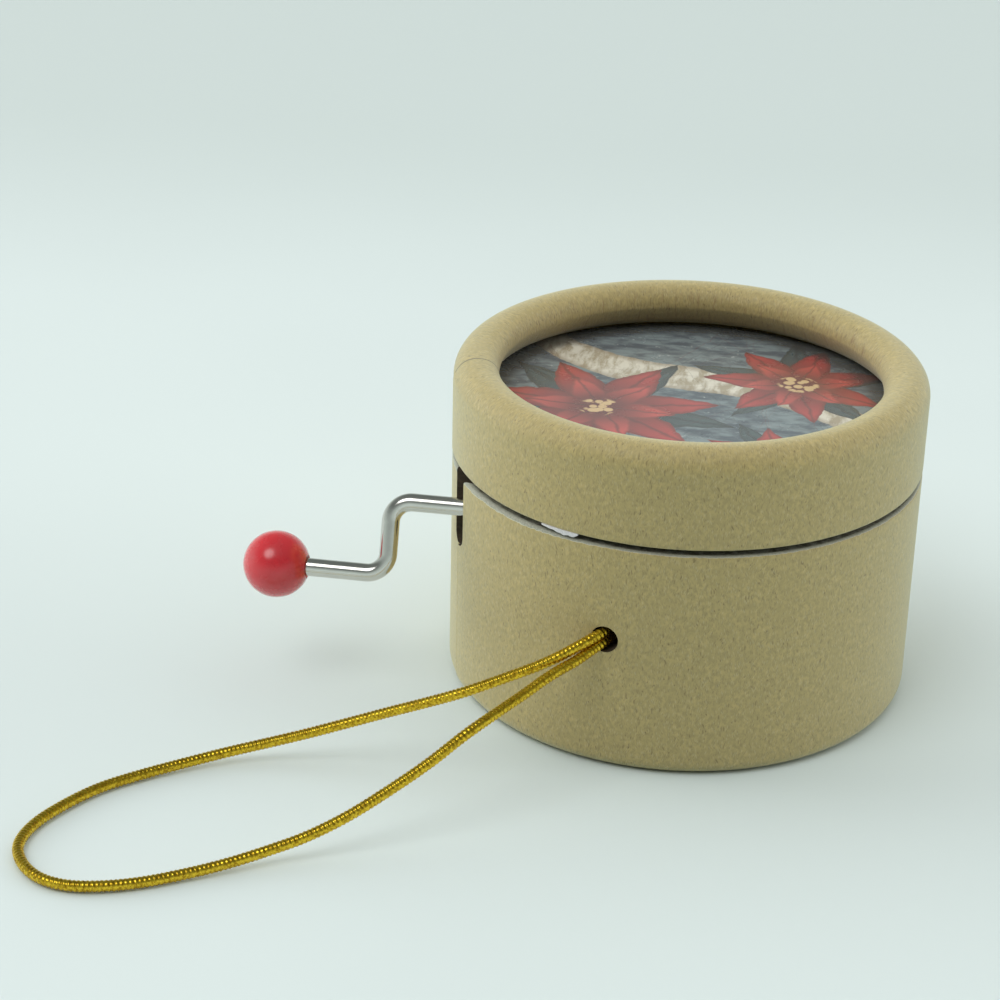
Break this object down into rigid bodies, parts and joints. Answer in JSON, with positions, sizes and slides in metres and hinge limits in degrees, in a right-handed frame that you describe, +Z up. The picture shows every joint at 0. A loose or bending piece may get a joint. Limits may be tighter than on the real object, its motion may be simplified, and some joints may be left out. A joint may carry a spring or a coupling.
{
  "type": "hand crank music box",
  "caption": "Round cardboard music box with a lift-off lid, a bent wire crank with a ball knob, a comb and pinned cylinder movement inside, and a cord hanging loop.",
  "frame": {"origin": "on the box's upright axis, on the flat underside that it stands on", "axes": "+Z up out of the lid; -X is the way the crank leaves the wall; -Y is the way the hanging loop leaves the wall"},
  "size_m": [0.0871, 0.0854, 0.0375],
  "materials": {
    "kraft": "natural brown kraft paper over a spiral wound tube, fine fibre flecks",
    "grey_board": "raw grey-brown board",
    "print": "printed and glossy",
    "zinc": "cast and zinc plated",
    "steel": "bright",
    "brass": "satin",
    "nylon": "moulded, off-white",
    "nickel": "bright nickel plate",
    "red_gloss": "glossy red",
    "gold_cord": "metallic gold thread, finely ribbed"
  },
  "bodies": {
    "base": {"base_tube": "kraft", "base_collar": "grey_board", "base_disc": "grey_board", "bedplate": "zinc", "crank_bracket": "steel", "bracket_screw_1": "steel", "bracket_screw_2": "steel", "comb": "steel", "comb_screw_1": "steel", "comb_screw_2": "steel", "movement_screw_1": "steel", "movement_screw_2": "steel", "movement_screw_3": "steel", "hanging_loop": "gold_cord", "loop_knot": "gold_cord"},
    "lid": {"lid_tube": "kraft", "lid_board": "grey_board", "picture_disc": "print"},
    "crank": {"crank_wire": "nickel", "crank_worm": "nylon", "crank_knob": "red_gloss", "crank_clip": "steel"},
    "cylinder": {"cylinder_drum": "brass", "cylinder_gear": "nylon", "cylinder_end_cap": "nylon", "cylinder_arbor": "steel"}
  },
  "joints": [
    {"name": "lid_lift", "type": "slide", "parent": "base", "child": "lid", "axis": [0, 0, 1], "range_m": [0, 0.03]},
    {"name": "crank_spin", "type": "hinge", "parent": "base", "child": "crank", "pos_m": [-0.00696, -0.0111, 0.0222], "axis": [-1, 0, 0], "continuous": true},
    {"name": "cylinder_spin", "type": "hinge", "parent": "base", "child": "cylinder", "pos_m": [-0.00696, 0.0019, 0.0135], "axis": [0, 1, 0], "continuous": true}
  ],
  "couplings": [
    {"joint": "cylinder_spin", "follows": "crank_spin", "ratio": 0.041667}
  ]
}
